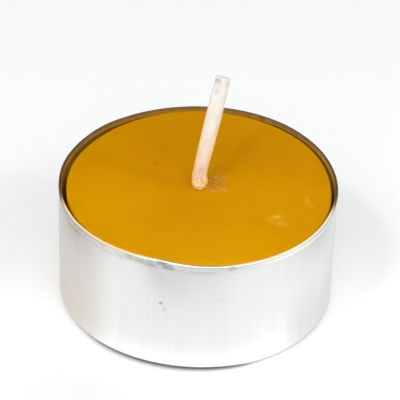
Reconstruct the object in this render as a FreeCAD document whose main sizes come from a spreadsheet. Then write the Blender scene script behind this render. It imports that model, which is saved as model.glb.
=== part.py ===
import FreeCAD, Part
import math
import os

import Sketcher

# Tea light candle: a drawn aluminium cup, a cast wax puck, a primed cotton wick and the
# small stamped sustainer that holds the wick upright at the bottom of the wax.
# The origin is the centre of the cup's base on the table, +Z is up and the front faces -Y.

DOCUMENT = FreeCAD.newDocument("tea_light_candle")

# Millimetres and degrees. Each value is one size that can be changed by itself.
DRIVING_SIZES = {
    # Cup, pressed from thin sheet, its edge folded inwards once
    "cup_height": 17.8,
    "rim_diameter": 38.0,
    "foot_diameter": 37.7,
    "sheet_thickness": 0.2,
    "corner_radius": 1.2,
    "lip_depth": 0.85,
    "lip_flare_width": 0.06,
    "lip_crease_height": 0.15,
    "foot_ring_width": 2.8,
    "panel_height": 0.35,
    "panel_step_width": 0.5,
    # Wax puck, cast by itself and dropped into the cup
    "wax_rim_depth": 0.55,
    "wax_rim_gap": 0.65,
    "wax_foot_gap": 1.0,
    "wax_edge_radius": 0.35,
    "wax_land_width": 2.5,
    "wax_dish_depth": 0.12,
    "wax_collar_width": 0.22,
    "wax_collar_height": 0.3,
    "puck_offset_x": 0.12,
    "puck_offset_y": 0.3,
    # Wick
    "wick_diameter": 2.05,
    "wick_upright_length": 1.0,
    "wick_bend_radius": 6.0,
    "wick_lean_angle": 26.1,
    "wick_heading_angle": 61.8,
    "wick_run_length": 12.0,
    # Sustainer
    "sustainer_diameter": 12.5,
    "sustainer_thickness": 0.25,
    "neck_length": 3.6,
    "neck_thickness": 0.3,
    "neck_flare_width": 0.35,
}

# Radii and heights that several pieces share, written in terms of the driving sizes.
WICK_RADIUS = "Sizes.wick_diameter / 2"
FOOT_RADIUS = "Sizes.foot_diameter / 2"
RIM_RADIUS = "Sizes.rim_diameter / 2"
RIM_BORE_RADIUS = f"({RIM_RADIUS} - 2 * Sizes.sheet_thickness)"
FLOOR_HEIGHT = "(Sizes.panel_height + Sizes.sheet_thickness)"
LIP_BOTTOM = "(Sizes.cup_height - Sizes.lip_depth)"
PUCK_HEIGHT = f"(Sizes.cup_height - Sizes.wax_rim_depth - {FLOOR_HEIGHT})"
NECK_TOP_RADIUS = f"({WICK_RADIUS} + Sizes.neck_thickness)"

# How much of the folded edge's thickness each of its two round corners takes.
RIM_ROUND_SHARE = 0.95

POSITION_TOLERANCE = 1e-4
RIGHT_ANGLE = 90
FULL_TURN = 360
Z_AXIS = FreeCAD.Vector(0, 0, 1)


def write_sizes():
    sheet = DOCUMENT.addObject("Spreadsheet::Sheet", "Sizes")
    for row, (alias, value) in enumerate(DRIVING_SIZES.items(), start=1):
        sheet.set(f"A{row}", alias)
        sheet.set(f"B{row}", str(value))
        sheet.setAlias(f"B{row}", alias)
    DOCUMENT.recompute()


def value_of(expression):
    result = DOCUMENT.getObject("Sizes").evalExpression(expression)
    return float(getattr(result, "Value", result))


def new_body(name):
    body = DOCUMENT.addObject("PartDesign::Body", name)
    body.Label = name
    return body


def new_sketch(body, name, plane_role):
    sketch = body.newObject("Sketcher::SketchObject", name)
    planes = [part for part in body.Origin.OriginFeatures if part.Role == plane_role]
    sketch.AttachmentSupport = (planes[0], [""])
    sketch.MapMode = "FlatFace"
    return sketch


def bind_corner(sketch, line, kind, direction, axis, expression):
    """Hold the start of a line on an axis, or at a bound distance from the origin."""
    if expression == "0":
        sketch.addConstraint(Sketcher.Constraint("PointOnObject", line, 1, axis))
        return
    distance = value_of(expression)
    index = sketch.addConstraint(Sketcher.Constraint(direction, -1, 1, line, 1, distance))
    sketch.renameConstraint(index, f"{kind}_{line}")
    sketch.setExpression(f"Constraints.{kind}_{line}", expression)


def draw_section(sketch, corners):
    """Draw a closed half section through (radius, height) corners given as expressions."""
    points = [FreeCAD.Vector(value_of(radius), value_of(height), 0) for radius, height in corners]
    count = len(points)
    for line in range(count):
        sketch.addGeometry(Part.LineSegment(points[line], points[(line + 1) % count]), False)
    for line in range(count):
        sketch.addConstraint(Sketcher.Constraint("Coincident", line, 2, (line + 1) % count, 1))
    for line, (radius, height) in enumerate(corners):
        bind_corner(sketch, line, "radius", "DistanceX", -2, radius)
        bind_corner(sketch, line, "height", "DistanceY", -1, height)


def revolve(body, name, corners):
    sketch = new_sketch(body, f"{name}_section", "XZ_Plane")
    draw_section(sketch, corners)
    turned = body.newObject("PartDesign::Revolution", name)
    turned.Profile = sketch
    turned.ReferenceAxis = (sketch, ["V_Axis"])
    turned.Angle = FULL_TURN
    sketch.Visibility = False
    DOCUMENT.recompute()
    return turned


def ring_edge(feature, radius, height):
    """Name the feature's circular edge that has this radius and height."""
    for number, edge in enumerate(feature.Shape.Edges, start=1):
        if not isinstance(edge.Curve, Part.Circle):
            continue
        radius_error = abs(edge.Curve.Radius - value_of(radius))
        height_error = abs(edge.Curve.Center.z - value_of(height))
        if max(radius_error, height_error) < POSITION_TOLERANCE:
            return f"Edge{number}"
    raise ValueError(f"{feature.Name} has no ring of radius {radius} at {height}")


def dress_rings(body, name, feature_type, base, rings, size_name, size):
    """Fillet or chamfer the circular edges at these (radius, height) places."""
    edges = [ring_edge(base, ring_radius, ring_height) for ring_radius, ring_height in rings]
    dressed = body.newObject(feature_type, name)
    dressed.Base = (base, edges)
    dressed.setExpression(size_name, size)
    DOCUMENT.recompute()
    return dressed


def round_rings(body, name, base, rings, radius):
    return dress_rings(body, name, "PartDesign::Fillet", base, rings, "Radius", radius)


def bevel_rings(body, name, base, rings, leg):
    return dress_rings(body, name, "PartDesign::Chamfer", base, rings, "Size", leg)


def build_cup():
    """Thin wall with a slight draft, a folded lip, a round foot and a raised base panel."""
    body = new_body("cup")
    panel_radius = f"({FOOT_RADIUS} - Sizes.foot_ring_width)"
    step_radius = f"({panel_radius} + Sizes.panel_step_width)"
    wall_spread = f"({RIM_RADIUS} - Sizes.lip_flare_width - {FOOT_RADIUS})"
    wall_top_radius = f"({FOOT_RADIUS} + {wall_spread} * {LIP_BOTTOM} / Sizes.cup_height)"
    inner_foot_radius = f"({FOOT_RADIUS} - Sizes.sheet_thickness)"
    blank = revolve(body, "cup_blank", [
        ("0", "Sizes.panel_height"),
        (panel_radius, "Sizes.panel_height"),
        (step_radius, "0"),
        (FOOT_RADIUS, "0"),
        (wall_top_radius, f"{LIP_BOTTOM} - Sizes.lip_crease_height"),
        (RIM_RADIUS, LIP_BOTTOM),
        (RIM_RADIUS, "Sizes.cup_height"),
        (RIM_BORE_RADIUS, "Sizes.cup_height"),
        (RIM_BORE_RADIUS, LIP_BOTTOM),
        (f"{wall_top_radius} - Sizes.sheet_thickness", LIP_BOTTOM),
        (inner_foot_radius, "Sizes.sheet_thickness"),
        (step_radius, "Sizes.sheet_thickness"),
        (panel_radius, FLOOR_HEIGHT),
        ("0", FLOOR_HEIGHT),
    ])
    inner_corner = [(inner_foot_radius, "Sizes.sheet_thickness")]
    inner_radius = "Sizes.corner_radius - Sizes.sheet_thickness"
    inside = round_rings(body, "inner_corner", blank, inner_corner, inner_radius)
    outer_corner = [(FOOT_RADIUS, "0")]
    outside = round_rings(body, "outer_corner", inside, outer_corner, "Sizes.corner_radius")
    rim_rings = [(RIM_RADIUS, "Sizes.cup_height"), (RIM_BORE_RADIUS, "Sizes.cup_height")]
    round_rings(body, "rim_round", outside, rim_rings, f"Sizes.sheet_thickness * {RIM_ROUND_SHARE}")
    return body


def place_in_cup(body):
    """Stand a piece of the insert on the cup's base panel, a little off the cup's axis."""
    body.setExpression("Placement.Base.x", "Sizes.puck_offset_x")
    body.setExpression("Placement.Base.y", "Sizes.puck_offset_y")
    body.setExpression("Placement.Base.z", FLOOR_HEIGHT)


def build_wax():
    """Drafted puck with a flat land, a shallow dish, a collar at the wick and seats underneath."""
    body = new_body("wax")
    top_radius = f"({RIM_BORE_RADIUS} - Sizes.wax_rim_gap)"
    foot_radius = f"({FOOT_RADIUS} - Sizes.sheet_thickness - Sizes.wax_foot_gap)"
    land_radius = f"({top_radius} - Sizes.wax_land_width)"
    dish_height = f"({PUCK_HEIGHT} - Sizes.wax_dish_depth)"
    puck = revolve(body, "puck", [
        (WICK_RADIUS, "Sizes.neck_length"),
        (WICK_RADIUS, f"{dish_height} + Sizes.wax_collar_height"),
        (f"{WICK_RADIUS} + Sizes.wax_collar_width", dish_height),
        (land_radius, PUCK_HEIGHT),
        (top_radius, PUCK_HEIGHT),
        (foot_radius, "0"),
        ("Sizes.sustainer_diameter / 2", "0"),
        ("Sizes.sustainer_diameter / 2", "Sizes.sustainer_thickness"),
        (f"{NECK_TOP_RADIUS} + Sizes.neck_flare_width", "Sizes.sustainer_thickness"),
        (NECK_TOP_RADIUS, "Sizes.neck_length"),
    ])
    rounded_edge = [(top_radius, PUCK_HEIGHT)]
    soft = round_rings(body, "rounded_edge", puck, rounded_edge, "Sizes.wax_edge_radius")
    # The bevel is as large as the cup's inner corner, so the puck's foot clears it.
    foot_bevel = "Sizes.corner_radius - Sizes.sheet_thickness"
    bevel_rings(body, "bevelled_foot", soft, [(foot_radius, "0")], foot_bevel)
    place_in_cup(body)
    return body


def build_sustainer():
    """Stamped disc with a short neck, crimped tight round the end of the wick."""
    body = new_body("wick_sustainer")
    revolve(body, "stamping", [
        (WICK_RADIUS, "0"),
        ("Sizes.sustainer_diameter / 2", "0"),
        ("Sizes.sustainer_diameter / 2", "Sizes.sustainer_thickness"),
        (f"{NECK_TOP_RADIUS} + Sizes.neck_flare_width", "Sizes.sustainer_thickness"),
        (NECK_TOP_RADIUS, "Sizes.neck_length"),
        (WICK_RADIUS, "Sizes.neck_length"),
    ])
    place_in_cup(body)
    return body


def draw_wick_path(sketch):
    """Upright line from the origin, one tangent arc, then a straight leaning run."""
    upright_length = f"{PUCK_HEIGHT} - Sizes.wax_dish_depth + Sizes.wick_upright_length"
    slope = f"{RIGHT_ANGLE} - Sizes.wick_lean_angle"
    upright = value_of(upright_length)
    bend = value_of("Sizes.wick_bend_radius")
    lean = math.radians(value_of("Sizes.wick_lean_angle"))
    run = value_of("Sizes.wick_run_length")
    foot = FreeCAD.Vector(0, 0, 0)
    knee = FreeCAD.Vector(0, upright, 0)
    centre = FreeCAD.Vector(bend, upright, 0)
    shoulder = centre + FreeCAD.Vector(-math.cos(lean), math.sin(lean), 0) * bend
    tip = shoulder + FreeCAD.Vector(math.sin(lean), math.cos(lean), 0) * run
    circle = Part.Circle(centre, Z_AXIS, bend)
    sketch.addGeometry(Part.LineSegment(foot, knee), False)
    sketch.addGeometry(Part.ArcOfCircle(circle, math.pi - lean, math.pi), False)
    sketch.addGeometry(Part.LineSegment(shoulder, tip), False)
    sketch.addConstraint(Sketcher.Constraint("Coincident", 0, 1, -1, 1))
    sketch.addConstraint(Sketcher.Constraint("Vertical", 0))
    sketch.addConstraint(Sketcher.Constraint("Tangent", 0, 2, 1, 2))
    sketch.addConstraint(Sketcher.Constraint("Tangent", 1, 1, 2, 1))
    bound_sizes = [
        ("upright", Sketcher.Constraint("Distance", 0, upright), upright_length),
        ("bend", Sketcher.Constraint("Radius", 1, bend), "Sizes.wick_bend_radius"),
        ("slope", Sketcher.Constraint("Angle", 2, math.pi / 2 - lean), slope),
        ("run", Sketcher.Constraint("Distance", 2, run), "Sizes.wick_run_length"),
    ]
    for name, constraint, expression in bound_sizes:
        index = sketch.addConstraint(constraint)
        sketch.renameConstraint(index, name)
        sketch.setExpression(f"Constraints.{name}", expression)


def build_wick():
    """Round cotton wick from the underside of the sustainer to its cut end in the air."""
    body = new_body("wick")
    path = new_sketch(body, "wick_path", "XZ_Plane")
    draw_wick_path(path)
    section = new_sketch(body, "wick_section", "XY_Plane")
    radius = value_of(WICK_RADIUS)
    circle = Part.Circle(FreeCAD.Vector(0, 0, 0), Z_AXIS, radius)
    section.addGeometry(circle, False)
    section.addConstraint(Sketcher.Constraint("Coincident", 0, 3, -1, 1))
    index = section.addConstraint(Sketcher.Constraint("Diameter", 0, 2 * radius))
    section.renameConstraint(index, "diameter")
    section.setExpression("Constraints.diameter", "Sizes.wick_diameter")
    DOCUMENT.recompute()
    cord = body.newObject("PartDesign::AdditivePipe", "wick_cord")
    cord.Profile = section
    cord.Spine = path
    path.Visibility = False
    section.Visibility = False
    place_in_cup(body)
    # The lean turns from +X towards +Y about the upright stretch.
    body.Placement.Rotation = FreeCAD.Rotation(Z_AXIS, value_of("Sizes.wick_heading_angle"))
    body.setExpression("Placement.Rotation.Angle", "Sizes.wick_heading_angle")
    DOCUMENT.recompute()
    return body


def check(bodies):
    for item in DOCUMENT.Objects:
        if "Invalid" in item.State or "Error" in item.State:
            raise RuntimeError(f"{item.Name} failed to build")
    for body in bodies:
        shape = body.Shape
        if shape.isNull() or not shape.isValid() or len(shape.Solids) != 1:
            raise RuntimeError(f"{body.Label} isn't one valid solid")


def export(bodies):
    os.makedirs("parts", exist_ok=True)
    for body in bodies:
        body.Shape.exportStep(os.path.join("parts", f"{body.Label}.step"))


write_sizes()
sub_parts = [build_cup(), build_wax(), build_sustainer(), build_wick()]
DOCUMENT.recompute()
check(sub_parts)
export(sub_parts)
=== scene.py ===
import math

import bpy
import numpy as np
from mathutils import Matrix, Vector
from mathutils.noise import noise


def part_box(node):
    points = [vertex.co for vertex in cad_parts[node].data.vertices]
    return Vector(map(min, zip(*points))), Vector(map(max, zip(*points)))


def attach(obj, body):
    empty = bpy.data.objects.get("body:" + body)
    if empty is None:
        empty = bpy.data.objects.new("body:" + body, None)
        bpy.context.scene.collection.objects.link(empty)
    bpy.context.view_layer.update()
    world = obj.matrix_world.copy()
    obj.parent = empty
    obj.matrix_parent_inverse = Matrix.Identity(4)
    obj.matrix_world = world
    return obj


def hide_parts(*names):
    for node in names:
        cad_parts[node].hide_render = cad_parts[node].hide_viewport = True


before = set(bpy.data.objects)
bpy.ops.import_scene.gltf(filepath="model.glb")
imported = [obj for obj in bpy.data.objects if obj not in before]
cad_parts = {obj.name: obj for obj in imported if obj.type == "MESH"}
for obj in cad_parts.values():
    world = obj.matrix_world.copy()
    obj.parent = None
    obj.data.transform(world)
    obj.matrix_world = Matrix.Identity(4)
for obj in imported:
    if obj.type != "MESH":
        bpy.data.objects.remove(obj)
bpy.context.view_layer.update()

# Tea light candle: drawn aluminium cup, cast wax puck, primed cotton wick, hidden sustainer.
# Sizes are metres in the model's own frame: origin under the cup, +Z up, front towards -Y.
# Tables hold plain numbers, and the comment above each table says what they are.

MM = 0.001
BODY = "root"

cup_low, cup_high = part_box("cup")
wax_low, wax_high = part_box("wax")
wick_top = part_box("wick")[1].z

# Cup section
CUP_HEIGHT = cup_high.z
RIM_RADIUS = 19.0 * MM
FOOT_RADIUS = 18.85 * MM
SHEET = 0.2 * MM
LIP_DEPTH = 0.85 * MM
LIP_BOTTOM = CUP_HEIGHT - LIP_DEPTH
LIP_FLARE = 0.06 * MM
LIP_SPREAD = 0.045 * MM
LIP_EDGE = 0.02 * MM
LIP_TUCK = 0.05 * MM
ROLL_DROP = 0.22 * MM
FOLD_RADIUS = 0.07 * MM
CREASE_HEIGHT = 0.6 * MM
CREASE_DEPTH = 0.012 * MM
CORNER_RADIUS = 1.2 * MM
RING_WIDTH = 2.8 * MM
PANEL_STEP = 0.5 * MM
PANEL_HEIGHT = 0.35 * MM
FLOOR_HEIGHT = PANEL_HEIGHT + SHEET
POLE_RADIUS = 0.8 * MM
CUP_SEGMENTS = 600
CROWN_RINGS = 8

# Outline of the bent rim: degrees round from +X, then millimetres beyond the nominal radius
RIM_OUTLINE = [
    (0, -0.04), (20, -0.02), (35, 0.04), (52, 0.10), (72, 0.05), (90, -0.09), (108, -0.14),
    (120, -0.11), (134, 0.05), (150, 0.01), (167, 0.04), (181, 0.0), (195, 0.10), (210, 0.09),
    (220, -0.01), (230, -0.14), (240, -0.32), (248, -0.46), (256, -0.60), (263, -0.38),
    (270, -0.13), (279, 0.06), (290, 0.22), (301, 0.32), (313, 0.31), (325, 0.26), (340, 0.10),
]

# The outline's first waves reach down the wall, and the rest of it is a dent near the rim
BROAD_WAVES = 3
BROAD_POWER = 1.6
DENT_REACH = 4.2 * MM

# Unevenness round the cup, in layers of noise: how often it changes, its level and its weight
WALL_RIPPLE = [(3.2, 0.4, 1.0), (9.0, 1.7, 0.5)]
LIP_TOP_CRUMPLE = [(15.0, 3.1, 1.0), (32.0, 5.2, 0.6)]
LIP_LOW_CRUMPLE = [(15.0, 7.7, 1.0), (32.0, 8.3, 0.6)]
HEM_WANDER = [(6.0, 11.0, 1.0)]
RIPPLE_DEPTH = 0.02 * MM
RIPPLE_FROM = 1 * MM
RIPPLE_FULL = 6 * MM
CRUMPLE_DEPTH = 0.020 * MM
CRUMPLE_MEAN = 0.55
CRUMPLE_FULL = 0.8 * LIP_DEPTH
HEM_DRIFT = 0.07 * MM
HEM_REACH = 0.35 * MM

# How hard the lip was worked when it was folded: degrees round from +X, then a factor
LIP_WORKED = [(0, 0.3), (60, 0.2), (120, 0.5), (180, 0.7), (215, 1.5), (245, 1.7), (262, 1.3),
              (280, 0.5), (300, 0.25), (330, 0.25)]
LEAST_WORKED = 0.1

# How far the thin foot is bent up off the table: degrees round from +X, then millimetres
FOOT_BEND = [(0, 0.0), (90, 0.0), (185, 0.0), (205, 0.03), (222, 0.17), (245, 0.32), (262, 0.33),
             (276, 0.26), (288, 0.15), (300, 0.05), (312, 0.05), (325, 0.02), (340, 0.0)]
FOOT_BEND_FROM = 16.4 * MM
FOOT_BEND_HEIGHT = 2.4 * MM

# Painted shade on the foot's corner, where it all but touches the table: degrees round from +X,
# then a share, and the heights it fades at
FOOT_PAINTED_SHADE = [(0, 0.0), (90, 0.0), (205, 0.0), (216, 0.1), (222, 0.4), (231, 1.0), (245, 1.0),
              (262, 1.0), (277, 1.0), (289, 0.6), (297, 0.05), (305, 0.0), (330, 0.0)]
PAINTED_SHADE_TOP = 0.62 * MM
PAINTED_SHADE_FULL = 0.40 * MM

# Wax section
PUCK_CENTRE = Vector(((wax_high.x + wax_low.x) / 2, (wax_high.y + wax_low.y) / 2, 0))
PUCK_RADIUS = (wax_high.x - wax_low.x) / 2
WAX_BELOW_RIM = 0.55 * MM
WAX_TOP = CUP_HEIGHT - WAX_BELOW_RIM
WAX_DISH = 0.12 * MM
DISH_HEIGHT = WAX_TOP - WAX_DISH
DISH_RADIUS = 4.6 * MM
WAX_LAND = 2.5 * MM
WAX_EDGE_RADIUS = 0.22 * MM
WAX_TOP_SKIN = 1.5 * WAX_EDGE_RADIUS
WAX_FOOT_GAP = 1.0 * MM
WAX_FOOT_RADIUS = FOOT_RADIUS - SHEET - WAX_FOOT_GAP
WAX_FOOT_BEVEL = CORNER_RADIUS - SHEET
WAX_POLE_RADIUS = 0.45 * MM
SUSTAINER_RADIUS = 6.25 * MM
WAX_SEGMENTS = 420

# Outline of the puck: degrees round from +X, then millimetres beyond its nominal radius
PUCK_OUTLINE = [
    (0, 0.0), (36, 0.06), (70, 0.12), (97, 0.17), (118, 0.02), (141, -0.10), (165, 0.02),
    (178, 0.10), (190, 0.22), (205, 0.34), (225, 0.31), (245, 0.08), (256, -0.03), (270, 0.08),
    (285, 0.32), (300, 0.50), (315, 0.58), (330, 0.50), (345, 0.26),
]
PUCK_RIPPLE = [(6.0, 2.2, 1.0)]
PUCK_RIPPLE_DEPTH = 0.02 * MM
OUTLINE_FROM = 0.6 * PUCK_RADIUS

# Swells and grain of the cast top: size in millimetres, level of the noise, depth in millimetres
WAX_SWELLS = [(7.5, 0.3, 0.03), (2.6, 5.1, 0.012), (0.8, 9.7, 0.003)]

# Small marks in the wax: x, y, half length, half width in millimetres, turn in degrees, height,
# and how much paler than the wax (below 0: darker)
WAX_MARKS = [
    (10.65, -6.4, 0.80, 0.50, 20, 0.02, 0.5),
    (9.7, -6.9, 0.35, 0.60, 60, 0.012, 0.3),
    (11.3, -8.0, 0.9, 0.6, 0, 0.0, 0.26),
    (14.8, -2.6, 0.30, 0.95, 10, 0.012, 0.34),
    (15.4, -4.0, 0.45, 0.25, 0, 0.012, 0.26),
    (-5.8, 5.4, 0.55, 0.42, 30, -0.04, -0.7),
]

# Torn patch beside the wick: x, y and half sizes in millimetres, then the noise of its ragged
# edge and of its lumps, each by size in millimetres and level
TORN_PATCH = (2.45, 0.9, 1.4, 2.1)
TORN_EDGE = (0.7, 3.3)
TORN_RAGGED = 0.9
TORN_NONE = 1.7
TORN_FULL = 0.1
LUMPS = (0.28, 12.1)
LUMP_DEPTH = 0.07 * MM
LUMP_MEAN = 0.2

# Collar of wax that climbs the wick, and its clumps
COLLAR_WIDTH = 0.25 * MM
COLLAR_HEIGHT = 0.10 * MM
COLLAR_POWER = 1.5
CLUMP_REACH = 2.2 * COLLAR_WIDTH
CLUMP_TURNS = 6
CLUMP_SIZE = 0.25 * MM
CLUMP_PUSH = 0.10 * MM
CLUMP_RISE = 0.09 * MM
CLUMP_MEAN = 0.3

# Wick route: upright out of the wax, one bend, then a straight lean to the right and back
WICK_RADIUS = 1.025 * MM
WICK_UPRIGHT = 1.0 * MM
WICK_BEND_RADIUS = 6.0 * MM
WICK_LEAN = math.radians(26.1)
WICK_HEADING = math.radians(61.8)
WICK_RUN = 12.0 * MM
WICK_FOOT = FLOOR_HEIGHT
WICK_SURFACE = DISH_HEIGHT - WICK_FOOT
WICK_LENGTH = WICK_SURFACE + WICK_UPRIGHT + WICK_BEND_RADIUS * WICK_LEAN + WICK_RUN
WICK_SHOWN_FROM = WICK_SURFACE - 1.5 * MM
WICK_SEGMENTS = 96
WICK_STEP = 0.05 * MM

# Wick thickness: share of its radius at the wax, then what the middle adds and the tip loses,
# and where along the shown wick these set in (0 at the wax, 1 at the tip)
WICK_AT_WAX = 0.90
WICK_SWELL = 0.145
WICK_TAPER = 0.045
SWELL_ALONG = (0.05, 0.5)
TAPER_ALONG = (0.7, 1.0)

# Wick surface: the braid, then noises by how often they change round it and length along it
BRAID_PITCH = 2.4 * MM
BRAID_YARNS = 4
BRAID_DEPTH = 0.020 * MM
BRAID_MEAN = 0.8
KNOT_TURNS, KNOT_LENGTH, KNOT_DEPTH = 1.3, 1.8 * MM, 0.03 * MM
FIBRE_TURNS, FIBRE_LENGTH, FIBRE_DEPTH = 8, 2.2 * MM, 0.014 * MM
CRUMB_TURNS, CRUMB_LENGTH, CRUMB_DEPTH = 3.0, 0.38 * MM, 0.22 * MM
CRUMB_MEAN = 0.5
COLLAR_REACH = 1.7 * MM
COLLAR_TURNS, COLLAR_LEVEL, COLLAR_UNEVEN = 2.5, 6.1, 0.9
COLLAR_FULL = 0.55

# Cut end of the wick
FRAYED = 0.6 * MM
FRAY_TURNS, FRAY_LEVEL, FRAY_DEPTH = 2.2, 4.4, 0.14 * MM
FRAY_MEAN = 0.5
CUT_STAINED = 0.3 * MM
CUT_STAIN = 0.3
TIP_SETBACK = 0.05 * MM

# Yellow film of wax on the wick's flanks, painted paler as a highlight, by how far a point faces
# sideways
FILM_AND_HIGHLIGHT_SIDE = (0.48, 0.88)
FILM_AND_HIGHLIGHT_TURNS, FILM_AND_HIGHLIGHT_LENGTH, FILM_AND_HIGHLIGHT_UNEVEN = 2, 2.4 * MM, 0.12

# Grey patches on the wick's front: millimetres above the wax, how far to the right (-1 to 1),
# radius in millimetres, strength
WICK_STAINS = [
    (1.6, 0.0, 0.35, 0.55),
    (2.9, -0.05, 0.35, 0.45),
    (15.35, -0.65, 0.55, 0.75),
    (13.8, -0.35, 0.5, 0.25),
    (15.0, 0.8, 0.45, 0.3),
]
BACK_FROM = 0.3

# Most of a noise texture's values lie in this span
NOISE_SPAN = (0.3, 0.7)

# Scales of the noise textures, per metre: the larger the number, the finer the noise
METAL_WAVES = 160.0
METAL_CLOUDS = 110.0
METAL_BRUSHING = 900.0
METAL_BLOTCHES = 1100.0
WAX_CLOUDS = 75.0
WAX_MOTTLES = 230.0
WAX_SPECKLES = 1500.0
WAX_CRUMBS = 1900.0
WAX_GRAIN = 2600.0
WICK_FIBRES = 1500.0
WICK_MOTTLES = 700.0
WICK_CRUMBS = 1500.0
STEEL_GRAIN = 1200.0

# Heights of the bumps that the materials add
METAL_BUMP = 0.012 * MM
WAX_BUMP = 0.006 * MM
WICK_BUMP = 0.02 * MM

# Finish of the cup, with painted reflection on the lip and painted shade at the foot: colours, and
# spans in millimetres along X, Y or upwards
METAL = [(0.3, (0.88, 0.88, 0.88)), (0.7, (0.91, 0.91, 0.91))]
STREAKS = [(0.35, (0.97, 0.97, 0.97)), (0.65, (1.0, 1.0, 1.0))]
METAL_ROUGHNESS = (0.278, 0.30)
SMUDGE_AND_SHADE_ROUGHNESS = 0.25
LIP_EDGE_FADE = 0.1
LIP_FRONT_Y = (-13.0, -18.0)
LIP_FRONT_REFLECTION_SHADE = (0.80, 0.79, 0.785)
LIP_RIGHT_X = (6.0, 12.0)
LIP_RIGHT_REFLECTION = (0.98, 0.98, 1.0)
SMUDGE_AND_SHADE_COLOUR = (0.10, 0.10, 0.10)
PAINTED_SHADE_COLOUR = (0.03, 0.03, 0.03)

# Painted light on the rolled crown: a cream painted highlight in front, dark brown painted shade
# at the back
CROWN_TOP = (0.2, 0.42)
CROWN_ANY = (0.0, 0.12)
CROWN_STRENGTH = 0.9
CROWN_HIGHLIGHT_TINT = (0.68, 0.60, 0.38)
CROWN_SIDE_X = (2.0, 9.0)
CROWN_SIDE_STRENGTH = 0.95
CROWN_STAIN_Y = (-5.0, -2.0)
CROWN_CREAM_X = (-8.0, 8.0)
CROWN_HIGHLIGHT_LEFT = (0.74, 0.61, 0.37)
CROWN_HIGHLIGHT_RIGHT = (0.80, 0.70, 0.50)
CROWN_BACK_Y = (-7.0, -3.0)
CROWN_BACK_SHADE = (0.10, 0.055, 0.02)

# Amber painted on the inner wall for the wax it mirrors, from the rim down: painted shade darkest
# by the rim, painted palest where little light reaches it
INSIDE_REFLECTION_SPAN = (0.9, 1.0)
INSIDE_DEPTH = (0.1, 1.2)
INSIDE_BACK = [(0.0, (0.18, 0.092, 0.0)), (1.0, (0.70, 0.31, 0.0))]
INSIDE_LEFT = [(0.0, (0.24, 0.125, 0.015)), (0.5, (0.6, 0.32, 0.04)), (1.0, (1.0, 0.62, 0.08))]
INSIDE_RIGHT = [(0.0, (0.36, 0.20, 0.04)), (0.5, (0.9, 0.52, 0.08)), (1.0, (1.0, 0.80, 0.14))]
INSIDE_FRONT = (1.0, 0.60, 0.12)
INSIDE_RIGHT_X = (12.0, 17.5)
INSIDE_BACK_Y = (3.0, 14.0)
INSIDE_FRONT_Y = (-3.0, -9.0)

# Smudges on the cup, one of them (at 16.9 mm) a painted shade line along the lip's crease: degrees
# from +X, height, half width, half height in millimetres, darkness
CUP_SMUDGES_AND_CREASE_SHADE = [
    (-104.0, 11.1, 0.26, 0.20, 0.42),
    (-102.5, 10.2, 0.26, 0.50, 0.12),
    (-101.2, 9.0, 0.30, 0.50, 0.05),
    (-109.6, 8.9, 0.17, 4.4, 0.035),
    (-105.2, 15.3, 0.50, 1.3, 0.03),
    (-103.0, 14.2, 0.25, 2.2, 0.025),
    (-79.2, 12.2, 0.8, 0.35, 0.04),
    (-104.6, 17.40, 0.70, 0.40, 0.55),
    (-101.6, 17.0, 0.85, 0.35, 0.50),
    (-75.6, 17.40, 0.50, 0.32, 0.38),
    (-89.8, 16.9, 2.2, 0.10, 0.20),
    (-141.0, 17.3, 3.6, 0.5, 0.09),
    (-131.0, 17.35, 0.45, 0.30, 0.25),
    (-124.0, 17.15, 1.3, 0.30, 0.14),
    (-118.6, 17.25, 0.65, 0.30, 0.34),
    (-113.8, 17.15, 0.9, 0.35, 0.28),
    (-109.0, 17.1, 0.9, 0.40, 0.30),
]
SMUDGE_RAGGED = (-0.7, 0.7)
SMUDGE_EDGE = (2.3, -0.2)

# Painted reflection on the wall's sides, dulled and tinted for the darker surroundings they
# mirror: degrees from +X of its middle, half width of its dark part and of all of it, how far it
# keeps to the lower wall, and its tint
CUP_SIDE_REFLECTION = [
    (188, 20, 50, 0.25, (0.655, 0.615, 0.56)),
    (333, 11, 26, 0.8, (0.71, 0.71, 0.705)),
]
LOWER_WALL = (13.0, 3.0)

# Colours of the wax: its two amber tones, its mottling, its painted shade darkening from front to
# back, its pale and dark marks, and the torn patch
WAX_TONES = [(0.32, (0.565, 0.256, 0.0)), (0.68, (0.618, 0.292, 0.0))]
WAX_MOTTLE = [(0.35, (0.975, 0.965, 0.9)), (0.65, (1, 1, 1))]
WAX_PAINTED_SHADE = [(0.0, (1.0, 1.0, 1.0)), (0.5, (0.925, 0.86, 0.9)), (0.9, (0.83, 0.765, 0.8))]
MARK_PALE = (0.84, 0.55, 0.06)
MARK_DARK = (0.44, 0.12, 0.0)
MARK_STRENGTH = 0.8
MARK_SPECKLE = (0.4, 1.3)
TORN_TONES = [(0.38, (0.36, 0.13, 0.015)), (0.52, (0.52, 0.22, 0.04)), (0.66, (0.80, 0.44, 0.12))]
TORN_STRENGTH = 0.42
WAX_ROUGHNESS = (0.42, 0.55)

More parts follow.
